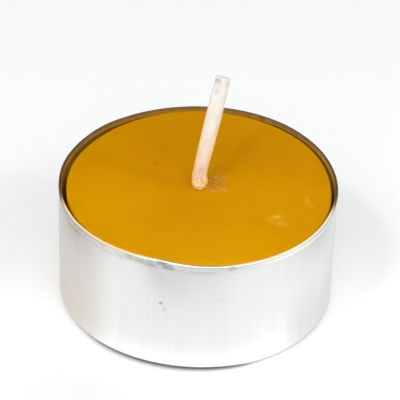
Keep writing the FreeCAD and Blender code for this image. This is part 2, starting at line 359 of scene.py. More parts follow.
# Colours of the wick: clean cotton, painted warm bounce light from the wax at the foot, grey
# mottling and stains, yellow film on the flanks with a painted highlight from the wax up to the
# tip, and the crumbs of its collar
COTTON = [(0.3, (0.74, 0.72, 0.68)), (0.7, (0.84, 0.82, 0.80))]
WARM_BOUNCE_PAINT = (0.76, 0.53, 0.38)
WARM_UP_TO = WAX_TOP + 12 * MM
WARM_STRENGTH = 0.85
COTTON_GREY = (0.52, 0.50, 0.49)
GREY_SPAN = (0.5, 0.75)
GREY_STRENGTH = 0.2
STAIN_GREY = (0.42, 0.39, 0.37)
FLANK_FILM_AND_HIGHLIGHT = [(0.0, (1.0, 0.56, 0.22)), (0.35, (1.0, 0.72, 0.34)), (0.62, (1.0, 0.82, 0.50)),
          (0.85, (1.0, 0.97, 0.90))]
FLANK_STRENGTH = 0.95
COLLAR_TONES = [(0.38, (0.86, 0.38, 0.04)), (0.52, (1.0, 0.58, 0.15)), (0.64, (1.0, 0.80, 0.56))]
COLLAR_PALE_AT = DISH_HEIGHT + 0.9 * MM
COLLAR_SHIFT = (-0.12, 0.12)
COLLAR_STRENGTH = 0.85
WICK_ROUGHNESS = (0.45, 0.65)

# Sustainer
STEEL = [(0.3, (0.62, 0.62, 0.60)), (0.7, (0.74, 0.74, 0.72))]
STEEL_ROUGHNESS = (0.25, 0.4)

# Floor: half its width and its level
FLOOR_HALF = 1.5
FLOOR_LEVEL = -0.01 * MM

# Outside the picture the floor is painted darker in front and at both sides, a painted shade that
# the cup's wall mirrors
FLOOR_FRONT_Y = (-28 * MM, -75 * MM)
FLOOR_SIDE_X = (28.2 * MM, 44 * MM)
FLOOR_SIDE_SLANT = 0.06
FLOOR_SIDE_Y = (-12 * MM, 4 * MM)
FLOOR_SIDE_SHARE = (0.3, 1.0)
FLOOR_DARK_X = (0, -30 * MM)
FLOOR_RIGHT_PAINTED_SHADE = (0.26, 0.26, 0.26)
FLOOR_LEFT_PAINTED_SHADE = (0.24, 0.215, 0.185)

# Inside it the floor is painted white by the cup, a painted pool of the light the cup throws, and
# painted a little duller further out and in front, against the lamps' fall-off
FLOOR_FAR = (19 * MM, 39 * MM)
FLOOR_PAINTED_LIGHT = [(0.0, (1.0, 1.0, 1.0)), (0.2, (0.98, 0.98, 0.98)), (0.4, (0.92, 0.92, 0.92)),
               (0.6, (0.875, 0.875, 0.875)), (1.0, (0.86, 0.86, 0.86))]
FLOOR_NEAR_Y = (0, -24 * MM)
FLOOR_NEAR_PAINTED_SHADE = (0.73, 0.73, 0.73)
NEAR_RIGHT_X = (6 * MM, 26 * MM)
NEAR_RIGHT_SHARE = (1.0, 0.35)
NEAR_LEFT_X = (-14 * MM, -28 * MM)
NEAR_LEFT_SHARE = (1.0, 0.45)
NEAR_FAR = (19.5 * MM, 24 * MM)
NEAR_FAR_SHARE = (0.1, 1.0)

# Lamps: name, azimuth from the camera's side and elevation in degrees, distance and size in
# metres, power in watts, colour
WHITE = (1, 1, 1)
LAMPS = [
    ("key_left", -37, 53, 0.45, 0.04, 0.20, WHITE),
    ("broad_left", -44, 50, 0.45, 0.13, 0.15, WHITE),
    ("key_right", 45, 42, 0.45, 0.08, 0.20, (0.88, 1.0, 0.97)),
    ("low_right", 78, 31, 0.45, 0.03, 0.21, (0.87, 1.0, 0.96)),
    ("fill_front", 0, 58, 0.40, 0.44, 0.825, WHITE),
    ("side_left", -80, 42, 0.45, 0.26, 0.18, WHITE),
    ("side_right", 95, 42, 0.45, 0.26, 0.12, WHITE),
]

# The room is pale in front and overhead, and dark behind: elevation of its bright middle in
# degrees, where the step runs along that direction, and its two brightnesses
ROOM_ELEVATION = 60
ROOM_SPAN = (0.12, 0.5)
ROOM_LEVELS = (0.03, 0.72)

# Camera, fitted to the rim, the silhouettes and the foot line
IMAGE_SIZE = 400
SENSOR_WIDTH = 36.0
FOCAL_PIXELS = 3094.0
CAMERA_DISTANCE = 420 * MM
CAMERA_ELEVATION = math.radians(35.4)
CAMERA_ROLL = math.radians(1.74)
CAMERA_CLIP = 0.01
AIM_BELOW_RIM = 2.78 * MM
AIM_RIGHT = 0.26 * MM


def smooth(low, high, value):
    """Smooth step from 0 at low to 1 at high."""
    x = np.clip((value - low) / (high - low), 0, 1)
    return x * x * (3 - 2 * x)


def periodic(table, angles):
    """Smooth closed curve through (degrees, value) points, read at these angles in radians."""
    degrees = np.array([row[0] for row in table], float)
    values = np.array([row[1] for row in table], float)
    degrees = np.concatenate((degrees - 360, degrees, degrees + 360))
    values = np.tile(values, 3)
    slopes = np.gradient(values, degrees)
    at = np.degrees(angles) % 360
    i = np.clip(np.searchsorted(degrees, at, side="right") - 1, 0, len(degrees) - 2)
    width = degrees[i + 1] - degrees[i]
    t = (at - degrees[i]) / width
    start, end = values[i], values[i + 1]
    rise, fall = slopes[i] * width, slopes[i + 1] * width
    return ((2 * t ** 3 - 3 * t ** 2 + 1) * start + (t ** 3 - 2 * t ** 2 + t) * rise
            + (3 * t ** 2 - 2 * t ** 3) * end + (t ** 3 - t ** 2) * fall)


def round_noise(angle, turns, level):
    """Noise on a circle of this radius: the larger turns is, the more often it changes."""
    return noise(Vector((turns * math.cos(angle), turns * math.sin(angle), level)))


def ring_noise(angles, layers):
    """Sum of such noises at all these angles, from layers of turns, level and weight."""
    total = np.zeros(len(angles))
    for turns, level, weight in layers:
        total += weight * np.array([round_noise(a, turns, level) for a in angles])
    return total


def flat_noise(x, y, size, level):
    """Noise over the wax's top, with features of this size in millimetres."""
    return noise(Vector((x / (size * MM), y / (size * MM), level)))


def new_mesh_object(name, vertices, faces):
    """Smooth-shaded object in the scene, made from these vertices and faces."""
    mesh = bpy.data.meshes.new(name)
    mesh.from_pydata([tuple(v) for v in vertices], [], faces)
    mesh.validate()
    mesh.shade_smooth()
    piece = bpy.data.objects.new(name, mesh)
    bpy.context.scene.collection.objects.link(piece)
    return piece


def add_attribute(piece, name, values):
    """Give each vertex a number that the material can read by this name."""
    layer = piece.data.attributes.new(name, "FLOAT", "POINT")
    layer.data.foreach_set("value", np.asarray(values, dtype=np.float32))


def lathe_faces(rings, segments):
    """Faces of a closed turned skin: its vertices run ring by ring, then the two pole points."""
    faces = []
    for ring in range(rings - 1):
        for i in range(segments):
            j = (i + 1) % segments
            a, b = ring * segments, (ring + 1) * segments
            faces.append((a + i, a + j, b + j, b + i))
    first_pole, last_pole = rings * segments, rings * segments + 1
    last_ring = (rings - 1) * segments
    for i in range(segments):
        j = (i + 1) % segments
        faces.append((first_pole, j, i))
        faces.append((last_pole, last_ring + i, last_ring + j))
    return faces


def arc(centre, radius, start, end, steps):
    """Points (radius, height) on an arc between two angles in degrees, both ends kept."""
    angles = np.radians(np.linspace(start, end, steps + 1))
    return [(centre[0] + radius * math.cos(a), centre[1] + radius * math.sin(a)) for a in angles]


def run(start, end, steps):
    """Points along a straight line in this many steps, without its last one."""
    return [tuple(p) for p in np.linspace(start, end, steps, endpoint=False)]


def cup_outline():
    """Section of the sheet from the underside's centre, round the rim, to the floor's centre.

    Returns its points (radius, height) and the number of those that lie on the outside.
    """
    panel = FOOT_RADIUS - RING_WIDTH
    step = panel + PANEL_STEP
    spread = RIM_RADIUS - LIP_FLARE - FOOT_RADIUS
    wall_top = FOOT_RADIUS + spread * LIP_BOTTOM / CUP_HEIGHT
    crease = LIP_BOTTOM - CREASE_HEIGHT
    corner = (FOOT_RADIUS - CORNER_RADIUS, CORNER_RADIUS)
    lip_foot = RIM_RADIUS - LIP_SPREAD
    hem_bore = RIM_RADIUS - 2 * SHEET
    crown = hem_bore + FOLD_RADIUS
    fold = (crown, CUP_HEIGHT - FOLD_RADIUS)
    shoulder = CUP_HEIGHT - ROLL_DROP
    inner_top = (wall_top - SHEET, LIP_BOTTOM - LIP_TUCK)
    points = run((POLE_RADIUS, PANEL_HEIGHT), (panel, PANEL_HEIGHT), 10)
    points += run((panel, PANEL_HEIGHT), (step, 0), 3)
    points += run((step, 0), (corner[0], 0), 3)
    points += arc(corner, CORNER_RADIUS, -90, 0, 10)
    points += run((FOOT_RADIUS, CORNER_RADIUS), (wall_top, crease), 26)[1:]
    for share in np.linspace(0, 1, 6):
        points.append((wall_top - CREASE_DEPTH * share ** 2, crease + CREASE_HEIGHT * share))
    points += arc((lip_foot - LIP_EDGE, LIP_BOTTOM + LIP_EDGE), LIP_EDGE, -90, 0, 3)
    points += run((lip_foot, LIP_BOTTOM + 2 * LIP_EDGE), (RIM_RADIUS, shoulder), 9)[1:]
    for turn in np.radians(np.linspace(0, 90, 9)):
        across, up = (RIM_RADIUS - crown) * math.cos(turn), ROLL_DROP * math.sin(turn)
        points.append((crown + across, shoulder + up))
    outside = len(points)
    points += arc(fold, FOLD_RADIUS, 90, 180, 4)[1:]
    points += run((hem_bore, fold[1]), (hem_bore, LIP_BOTTOM), 6)[1:]
    points += run((hem_bore, LIP_BOTTOM), inner_top, 2)
    points += run(inner_top, (FOOT_RADIUS - SHEET, CORNER_RADIUS), 14)
    points += arc(corner, CORNER_RADIUS - SHEET, 0, -90, 5)
    points += run((step, SHEET), (panel, FLOOR_HEIGHT), 2)
    points += run((panel, FLOOR_HEIGHT), (POLE_RADIUS, FLOOR_HEIGHT), 6)
    return np.array(points), outside


class CupShape:
    """How far the thin cup is out of true, by angle and height."""

    def __init__(self, angles):
        outline = periodic(RIM_OUTLINE, angles) * MM
        waves = np.fft.rfft(outline)
        waves[BROAD_WAVES + 1:] = 0
        self.broad = np.fft.irfft(waves, len(angles))
        self.local = outline - self.broad
        self.ripple = ring_noise(angles, WALL_RIPPLE)
        self.crumple_top = ring_noise(angles, LIP_TOP_CRUMPLE)
        self.crumple_low = ring_noise(angles, LIP_LOW_CRUMPLE)
        self.hem_wander = ring_noise(angles, HEM_WANDER)
        self.worked = np.maximum(periodic(LIP_WORKED, angles), LEAST_WORKED)
        self.foot = np.maximum(periodic(FOOT_BEND, angles), 0) * MM
        self.painted_foot_shade = np.clip(periodic(FOOT_PAINTED_SHADE, angles), 0, 1)

    def at_foot(self, radius):
        """From 0 on the base's ring to 1 on its outer corner."""
        return smooth(FOOT_BEND_FROM, FOOT_RADIUS - CORNER_RADIUS, radius)

    def shaded_foot(self, radius, height):
        """Painted shade on the outer corner of the foot, where it all but touches the table."""
        return self.painted_foot_shade * self.at_foot(radius) * smooth(PAINTED_SHADE_TOP, PAINTED_SHADE_FULL, height)

    def offset(self, height):
        """Outward push at this height, for every angle."""
        below = CUP_HEIGHT - height
        share = max(height, 0) / CUP_HEIGHT
        dent = math.exp(-(below / DENT_REACH) ** 2)
        push = self.broad * share ** BROAD_POWER + self.local * dent
        push = push + RIPPLE_DEPTH * self.ripple * smooth(RIPPLE_FROM, RIPPLE_FULL, height)
        lip = smooth(LIP_DEPTH + CREASE_HEIGHT, CRUMPLE_FULL, below)
        tilt = np.clip(below / LIP_DEPTH, 0, 1)
        crumple = self.crumple_top * (1 - tilt) + self.crumple_low * tilt
        return push - CRUMPLE_DEPTH * self.worked * (CRUMPLE_MEAN + crumple) * lip

    def lift(self, radius, height):
        """The folded sheet's lower edge wanders up and down, and the foot is bent up in front."""
        near = math.exp(-((height - LIP_BOTTOM) / HEM_REACH) ** 2)
        low = smooth(FOOT_BEND_HEIGHT, 0, height)
        return HEM_DRIFT * self.hem_wander * near + self.foot * low * self.at_foot(radius)


def build_cup():
    """Cup of thin sheet: bent rim, creased lip, bent foot, and attributes for its material."""
    outline, outside = cup_outline()
    angles = np.linspace(0, 2 * math.pi, CUP_SEGMENTS, endpoint=False)
    shape = CupShape(angles)
    rings, painted_foot_shade = [], []
    for radius, height in outline:
        radii = np.full(CUP_SEGMENTS, radius)
        heights = np.full(CUP_SEGMENTS, height)
        if radius > FOOT_BEND_FROM:
            radii = radii + shape.offset(height)
            heights = heights + shape.lift(radius, height)
        x = np.clip(radii * np.cos(angles), cup_low.x, cup_high.x)
        y = np.clip(radii * np.sin(angles), cup_low.y, cup_high.y)
        rings.append(np.column_stack((x, y, heights)))
        painted_foot_shade.append(shape.shaded_foot(radius, height))
    vertices = np.vstack(rings + [[[0, 0, PANEL_HEIGHT]], [[0, 0, FLOOR_HEIGHT]]])
    piece = new_mesh_object("cup_shell", vertices, lathe_faces(len(outline), CUP_SEGMENTS))
    order = np.arange(len(outline))
    inside = np.repeat(order >= outside, CUP_SEGMENTS)
    # The crown attribute rises from 0 on the lip's shoulder to 1 on top of the rim
    crown = np.clip((order - outside + CROWN_RINGS + 1) / CROWN_RINGS, 0, 1) * (order <= outside)
    crown = np.repeat(crown, CUP_SEGMENTS)
    add_attribute(piece, "inside", np.append(inside, (0, 1)))
    add_attribute(piece, "crown", np.append(crown, (0, 0)))
    add_attribute(piece, "painted_foot_shade", np.append(painted_foot_shade, (0, 0)))
    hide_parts("cup")
    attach(piece, BODY)
    return piece


def wax_outline():
    """Section of the puck from the wick's foot in the dish, over the edge, to the underside."""
    land = PUCK_RADIUS - WAX_LAND
    edge = (PUCK_RADIUS - WAX_EDGE_RADIUS, WAX_TOP - WAX_EDGE_RADIUS)
    foot = FLOOR_HEIGHT + WAX_FOOT_BEVEL
    base = WAX_FOOT_RADIUS - WAX_FOOT_BEVEL
    collar_top = DISH_HEIGHT + COLLAR_HEIGHT
    points = run((WAX_POLE_RADIUS, collar_top), (WICK_RADIUS, collar_top), 3)
    for share in np.linspace(0, 1, 9)[:-1]:
        rise = COLLAR_HEIGHT * (1 - share) ** COLLAR_POWER
        points.append((WICK_RADIUS + COLLAR_WIDTH * share, DISH_HEIGHT + rise))
    points += run((WICK_RADIUS + COLLAR_WIDTH, DISH_HEIGHT), (DISH_RADIUS, DISH_HEIGHT), 34)
    points += run((DISH_RADIUS, DISH_HEIGHT), (land, WAX_TOP), 36)
    points += run((land, WAX_TOP), (edge[0], WAX_TOP), 8)
    points += arc(edge, WAX_EDGE_RADIUS, 90, 0, 8)
    points += run((PUCK_RADIUS, edge[1]), (WAX_FOOT_RADIUS, foot), 12)[1:]
    points += run((WAX_FOOT_RADIUS, foot), (base, FLOOR_HEIGHT), 3)
    points += run((base, FLOOR_HEIGHT), (SUSTAINER_RADIUS, FLOOR_HEIGHT), 5)
    return np.array(points)


def torn_share(x, y):
    """How much the wax is torn up here, beside the wick."""
    cx, cy, rx, ry = TORN_PATCH
    far = ((x / MM - cx) / rx) ** 2 + ((y / MM - cy) / ry) ** 2
    ragged = TORN_RAGGED * flat_noise(x, y, *TORN_EDGE)
    return float(smooth(TORN_NONE, TORN_FULL, far + ragged))


def wax_surface(x, y):
    """Relief of the cast top here, how much paler its marks make it, and how torn it is."""
    relief, paler = 0.0, 0.0
    for size, level, depth in WAX_SWELLS:
        relief += depth * MM * flat_noise(x, y, size, level)
    for cx, cy, length, width, turn, rise, tone in WAX_MARKS:
        c, s = math.cos(math.radians(turn)), math.sin(math.radians(turn))
        dx, dy = x / MM - cx, y / MM - cy
        along, across = (dx * c + dy * s) / length, (dy * c - dx * s) / width
        share = math.exp(-(along * along + across * across))
        relief += share * rise * MM
        paler += share * tone
    torn = torn_share(x, y)
    if torn > 0:
        relief += torn * LUMP_DEPTH * (LUMP_MEAN + flat_noise(x, y, *LUMPS))
    return relief, paler, torn


def build_wax():
    """Cast puck: uneven outline, shallow dish, marks, torn patch and a collar at the wick."""
    outline = wax_outline()
    angles = np.linspace(0, 2 * math.pi, WAX_SEGMENTS, endpoint=False)
    spreads = periodic(PUCK_OUTLINE, angles) * MM
    spreads = spreads + PUCK_RIPPLE_DEPTH * ring_noise(angles, PUCK_RIPPLE)
    vertices, torn, tones = [], [], []
    for radius, height in outline:
        on_top = height > WAX_TOP - WAX_TOP_SKIN
        share = smooth(OUTLINE_FROM, PUCK_RADIUS, radius)
        for a, spread in zip(angles, spreads):
            r = radius + spread * share
            collar = smooth(WICK_RADIUS + CLUMP_REACH, WICK_RADIUS, r)
            clumps = round_noise(a, CLUMP_TURNS, height / CLUMP_SIZE)
            r += collar * CLUMP_PUSH * clumps
            x, y = r * math.cos(a) + PUCK_CENTRE.x, r * math.sin(a) + PUCK_CENTRE.y
            relief, paler, tear = wax_surface(x, y) if on_top else (0.0, 0.0, 0.0)
            rise = collar * on_top * CLUMP_RISE * (CLUMP_MEAN + clumps)
            vertices.append((x, y, height + relief + rise))
            torn.append(tear)
            tones.append(paler)
    vertices.append((PUCK_CENTRE.x, PUCK_CENTRE.y, DISH_HEIGHT + COLLAR_HEIGHT))
    vertices.append((PUCK_CENTRE.x, PUCK_CENTRE.y, FLOOR_HEIGHT))
    torn += [0, 0]
    tones += [0, 0]
    faces = [tuple(reversed(face)) for face in lathe_faces(len(outline), WAX_SEGMENTS)]
    piece = new_mesh_object("wax_puck", vertices, faces)
    add_attribute(piece, "torn", torn)
    add_attribute(piece, "tone", tones)
    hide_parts("wax")
    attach(piece, BODY)
    return piece


def wick_point(distance):
    """Place and direction on the wick's centre line, this far up from its foot."""
    upright = DISH_HEIGHT + WICK_UPRIGHT - WICK_FOOT
    bend = WICK_BEND_RADIUS * WICK_LEAN
    lean = min(max(distance - upright, 0), bend) / WICK_BEND_RADIUS
    side = WICK_BEND_RADIUS * (1 - math.cos(lean))
    rise = min(distance, upright) + WICK_BEND_RADIUS * math.sin(lean)
    beyond = max(distance - upright - bend, 0)
    side += beyond * math.sin(lean)
    rise += beyond * math.cos(lean)
    outwards = Vector((math.cos(WICK_HEADING), math.sin(WICK_HEADING), 0))
    place = PUCK_CENTRE + outwards * side + Vector((0, 0, WICK_FOOT + rise))
    direction = outwards * math.sin(lean) + Vector((0, 0, math.cos(lean)))
    return place, direction


def braid_relief(turn, distance):
    """Two families of yarns crossing round the wick, shallow under their coat of wax."""
    phase = 2 * math.pi * distance / BRAID_PITCH
    one = math.cos(BRAID_YARNS * turn + phase)
    other = math.cos(BRAID_YARNS * turn - phase)
    return BRAID_DEPTH * (max(one, other) - BRAID_MEAN)


def wick_radius(share):
    """Slimmer at the wax, fullest half way up, drawn in a little at the cut end."""
    swell = WICK_AT_WAX + WICK_SWELL * smooth(*SWELL_ALONG, share)
    return WICK_RADIUS * float(swell - WICK_TAPER * smooth(*TAPER_ALONG, share))


def wick_stain(level, outward):
    """How grey the wick is at this level above the wax, on the side that faces outward."""
    if outward.y > BACK_FROM:
        return 0.0
    grey = 0.0
    for height, across, radius, strength in WICK_STAINS:
        up = (level / MM - height) / radius
        sideways = (outward.x - across) * WICK_RADIUS / MM / radius
        grey = max(grey, strength * math.exp(-(up * up + sideways * sideways)))
    return grey


def build_wick():
    """Primed wick from a little under the wax to its frayed cut end."""
    rows = int((WICK_LENGTH - WICK_SHOWN_FROM) / WICK_STEP)
    vertices, film_and_painted_light, collars, stains = [], [], [], []
    side = Vector((-math.sin(WICK_HEADING), math.cos(WICK_HEADING), 0))
    for row in range(rows + 1):
        distance = WICK_SHOWN_FROM + (WICK_LENGTH - WICK_SHOWN_FROM) * row / rows
        level = distance - WICK_SURFACE
        thickness = wick_radius(level / (WICK_LENGTH - WICK_SURFACE))
        place, direction = wick_point(distance)
        front = direction.cross(side)
        at_end = float(smooth(WICK_LENGTH - FRAYED, WICK_LENGTH, distance))
        cut_stain = CUT_STAIN * float(smooth(WICK_LENGTH - CUT_STAINED, WICK_LENGTH, distance))
        for i in range(WICK_SEGMENTS):
            turn = 2 * math.pi * i / WICK_SEGMENTS
            outward = side * math.cos(turn) + front * math.sin(turn)
            uneven = COLLAR_UNEVEN * round_noise(turn, COLLAR_TURNS, COLLAR_LEVEL)
            reach = COLLAR_REACH * (1 + uneven)
            collar = float(smooth(reach, COLLAR_FULL * reach, level))
            crumbs = CRUMB_MEAN + round_noise(turn, CRUMB_TURNS, distance / CRUMB_LENGTH)
            radius = thickness + braid_relief(turn, distance)
            radius += KNOT_DEPTH * round_noise(turn, KNOT_TURNS, distance / KNOT_LENGTH)
            radius += FIBRE_DEPTH * round_noise(turn, FIBRE_TURNS, distance / FIBRE_LENGTH)
            radius += collar * CRUMB_DEPTH * crumbs
            short = FRAY_MEAN + round_noise(turn, FRAY_TURNS, FRAY_LEVEL)
            spot = place + outward * radius - direction * at_end * FRAY_DEPTH * short
            spot.z = min(spot.z, wick_top)
            vertices.append(spot)
            stains.append(max(wick_stain(level, outward), cut_stain))
            # Film of wax with a painted highlight, on the flanks that face sideways
            patch = FILM_AND_HIGHLIGHT_UNEVEN * round_noise(turn, FILM_AND_HIGHLIGHT_TURNS, distance / FILM_AND_HIGHLIGHT_LENGTH)
            film_and_painted_light.append(float(smooth(*FILM_AND_HIGHLIGHT_SIDE, abs(outward.x) + patch)))
            collars.append(collar)
    vertices.append(wick_point(WICK_SHOWN_FROM)[0])
    vertices.append(wick_point(WICK_LENGTH - TIP_SETBACK)[0])
    film_and_painted_light += [0, 0]
    collars += [1, 0]
    stains += [0, CUT_STAIN]
    piece = new_mesh_object("wick_braid", vertices, lathe_faces(rows + 1, WICK_SEGMENTS))
    add_attribute(piece, "film_and_painted_light", film_and_painted_light)
    add_attribute(piece, "collar", collars)
    add_attribute(piece, "stain", stains)
    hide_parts("wick")
    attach(piece, BODY)
    return piece


class Shader:
    """A material's node tree, with short calls to add nodes and join them."""

    def __init__(self, name):
        self.material = bpy.data.materials.new(name)
        self.material.use_nodes = True
        self.nodes = self.material.node_tree.nodes
        self.links = self.material.node_tree.links
        self.principled = self.nodes["Principled BSDF"]

    def set(self, **values):
        """Set the shader's own sockets, named with _ for each space."""
        for socket, value in values.items():
            self.principled.inputs[socket.replace("_", " ")].default_value = value

    def to(self, socket, value):
        """Link a node's output to one of the shader's sockets."""
        self.links.new(value, self.principled.inputs[socket])

    def plug(self, socket, value):
        """Link an output to a node's socket, or set the socket to a constant."""
        if isinstance(value, bpy.types.NodeSocket):
            self.links.new(value, socket)
        else:
            socket.default_value = value

    def node(self, kind, inputs=None, **settings):
        made = self.nodes.new(kind)
        for key, value in settings.items():
            setattr(made, key, value)
        for socket, value in (inputs or {}).items():
            self.plug(made.inputs[socket], value)
        return made

    def place(self, scale=(1, 1, 1)):
        """Place in the model's own frame, in metres unless it is scaled."""
        source = self.node("ShaderNodeTexCoord").outputs["Object"]
        return self.node("ShaderNodeMapping", {"Vector": source, "Scale": scale}).outputs["Vector"]

    def axes(self, scale=(1, 1, 1)):
        return self.node("ShaderNodeSeparateXYZ", {"Vector": self.place(scale)}).outputs

    def noise(self, scale, detail=3.0, roughness=0.5, stretch=(1, 1, 1)):
        """Noise texture; its scale is per metre, and a stretch below 1 draws it out."""
        inputs = {"Vector": self.place(stretch), "Scale": scale, "Detail": detail}
        return self.node("ShaderNodeTexNoise", {**inputs, "Roughness": roughness}).outputs["Fac"]

    def attribute(self, name):
        return self.node("ShaderNodeAttribute", attribute_name=name).outputs["Fac"]

    def ramp(self, factor, stops):
        """Colour ramp through (position, colour) stops."""
        made = self.node("ShaderNodeValToRGB", {"Fac": factor})
        elements = made.color_ramp.elements
        while len(elements) < len(stops):
            elements.new(0.5)
        for element, (position, colour) in zip(elements, stops):
            element.position = position
            element.color = (*colour, 1)
        return made.outputs["Color"]

    def range(self, value, span, out=(0.0, 1.0), soft=False):
        """Carry a value's span over to out, and hold it at out's ends beyond."""
        kind = "SMOOTHSTEP" if soft else "LINEAR"
        inputs = {"Value": value, 1: span[0], 2: span[1], 3: out[0], 4: out[1]}
        return self.node("ShaderNodeMapRange", inputs, interpolation_type=kind).outputs["Result"]

    def fade(self, value, span, out=(0.0, 1.0)):
        """The same with soft ends."""
        return self.range(value, span, out, soft=True)

    def math(self, operation, one, other=0.0):
        made = self.node("ShaderNodeMath", {0: one, 1: other}, operation=operation)
        return made.outputs["Value"]

    def times(self, one, other):
        return self.math("MULTIPLY", one, other)

    def vector_math(self, operation, one, other=(0, 0, 0)):
        made = self.node("ShaderNodeVectorMath", {0: one, 1: other}, operation=operation)
        return made.outputs["Value"]

    def mix(self, factor, one, other, blend="MIX"):
        """Blend two colours, each given as an output or as three numbers."""
        made = self.nodes.new("ShaderNodeMix")
        made.data_type = "RGBA"
        made.blend_type = blend
        for socket, value in ((0, factor), (6, one), (7, other)):
            self.plug(made.inputs[socket], (*value, 1) if isinstance(value, tuple) else value)
        return made.outputs[2]

    def bump(self, height, distance, strength=1.0):
        inputs = {"Height": height, "Distance": distance, "Strength": strength}
        return self.node("ShaderNodeBump", inputs).outputs["Normal"]


def side_reflection_painted(s, colour, height):
    """The wall's colour with painted reflection: dulled and tinted where it faces each of these
    directions.
    """
    for degrees, dark, clear, low_only, tint in CUP_SIDE_REFLECTION:
        turn = math.radians(degrees)
        outward = s.place((1 / FOOT_RADIUS, 1 / FOOT_RADIUS, 0))
        facing = s.vector_math("DOT_PRODUCT", outward, (math.cos(turn), math.sin(turn), 0))
        share = s.fade(facing, (math.cos(math.radians(clear)), math.cos(math.radians(dark))))
        low = s.fade(height, LOWER_WALL, (1.0 - low_only, 1.0))
        colour = s.mix(s.times(share, low), colour, tint)
    return colour


def lip_painted_reflection(s, colour, axes):
    """Painted reflection on the folded lip: darker in front, paler at the right."""
    level = LIP_BOTTOM / MM
    lip = s.fade(axes["Z"], (level - LIP_EDGE_FADE, level + LIP_EDGE_FADE))
    colour = s.mix(s.times(lip, s.fade(axes["Y"], LIP_FRONT_Y)), colour, LIP_FRONT_REFLECTION_SHADE)
    return s.mix(s.times(lip, s.fade(axes["X"], LIP_RIGHT_X)), colour, LIP_RIGHT_REFLECTION)


def smudged_and_shaded(s, smudges_and_shade, axes, blotches):
    """The given darkness, the painted foot shade, with each smudge added, a ragged spot at its own
    place. One smudge is a painted shade line along the lip's crease.
    """
    around = s.times(s.math("ARCTAN2", axes["Y"], axes["X"]), FOOT_RADIUS / MM)
    raggedness = s.range(blotches, NOISE_SPAN, SMUDGE_RAGGED)
    for degrees, level, wide, tall, darkness in CUP_SMUDGES_AND_CREASE_SHADE:
        middle = math.radians(degrees) * FOOT_RADIUS / MM
        u = s.math("DIVIDE", s.math("SUBTRACT", around, middle), wide)
        v = s.math("DIVIDE", s.math("SUBTRACT", axes["Z"], level), tall)
        far = s.math("ADD", s.times(u, u), s.times(v, v))
        spot = s.fade(s.math("ADD", far, raggedness), SMUDGE_EDGE, (0.0, darkness))
        smudges_and_shade = s.math("MAXIMUM", smudges_and_shade, spot)
    return smudges_and_shade


def inside_painted_reflection(s, axes):
    """Amber painted on the inner wall for the wax it mirrors, with painted shade and light by
    depth under the rim and by side.
    """
    rim = CUP_HEIGHT / MM
    depth = s.range(axes["Z"], (rim - INSIDE_DEPTH[0], rim - INSIDE_DEPTH[1]))
    left, right = s.ramp(depth, INSIDE_LEFT), s.ramp(depth, INSIDE_RIGHT)
    amber = s.mix(s.fade(axes["X"], INSIDE_RIGHT_X), left, right)
    amber = s.mix(s.fade(axes["Y"], INSIDE_BACK_Y), amber, s.ramp(depth, INSIDE_BACK))
    return s.mix(s.fade(axes["Y"], INSIDE_FRONT_Y), amber, INSIDE_FRONT)


def crown_painted_light(s, axes, crown, crown_top):
    """How far the rolled crown is painted with light, and in what colour: a cream highlight in
    front, dark shade at the back.
    """
    sides = s.fade(s.math("ABSOLUTE", axes["X"]), CROWN_SIDE_X, (0.0, CROWN_SIDE_STRENGTH))
    back = s.times(s.range(crown, CROWN_ANY), s.range(axes["Y"], CROWN_STAIN_Y))
    share = s.math("MAXIMUM", s.times(crown_top, sides), back)
    cream = s.mix(s.range(axes["X"], CROWN_CREAM_X), CROWN_HIGHLIGHT_LEFT, CROWN_HIGHLIGHT_RIGHT)
    return share, s.mix(s.fade(axes["Y"], CROWN_BACK_Y), cream, CROWN_BACK_SHADE)


